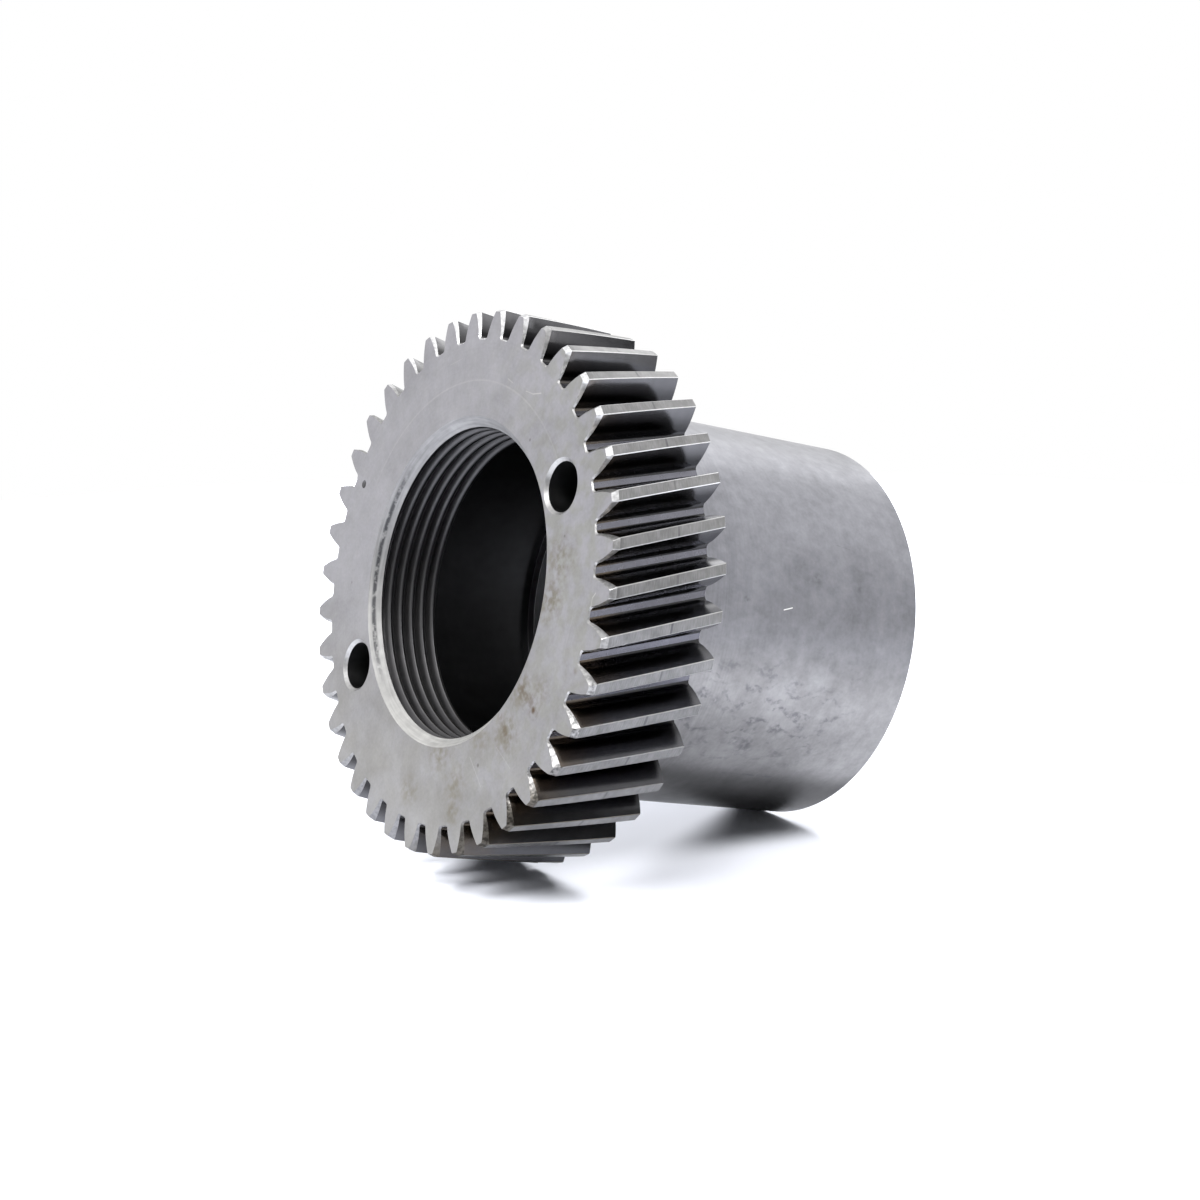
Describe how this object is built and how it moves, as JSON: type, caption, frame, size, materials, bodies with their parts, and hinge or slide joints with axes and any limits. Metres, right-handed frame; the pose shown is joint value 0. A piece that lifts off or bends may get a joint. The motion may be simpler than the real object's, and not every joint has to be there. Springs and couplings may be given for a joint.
{
  "type": "supply pump gear",
  "caption": "Left-hand helical steel gear on a long plain hub, with a stepped through bore, a threaded mouth and blind holes in its front face.",
  "frame": {"origin": "centre of the hub's end face, which the gear stands on", "axes": "+Z along the gear's axis from the hub end to the threaded front face, +X from the axis through a face hole"},
  "size_m": [0.084, 0.084, 0.0675],
  "materials": {
    "steel": "ground front face with old stains, hobbed and worn teeth, turned hub with a dull blue-grey skin"
  },
  "bodies": {
    "root": {"supply_pump_gear": "steel"}
  },
  "joints": []
}
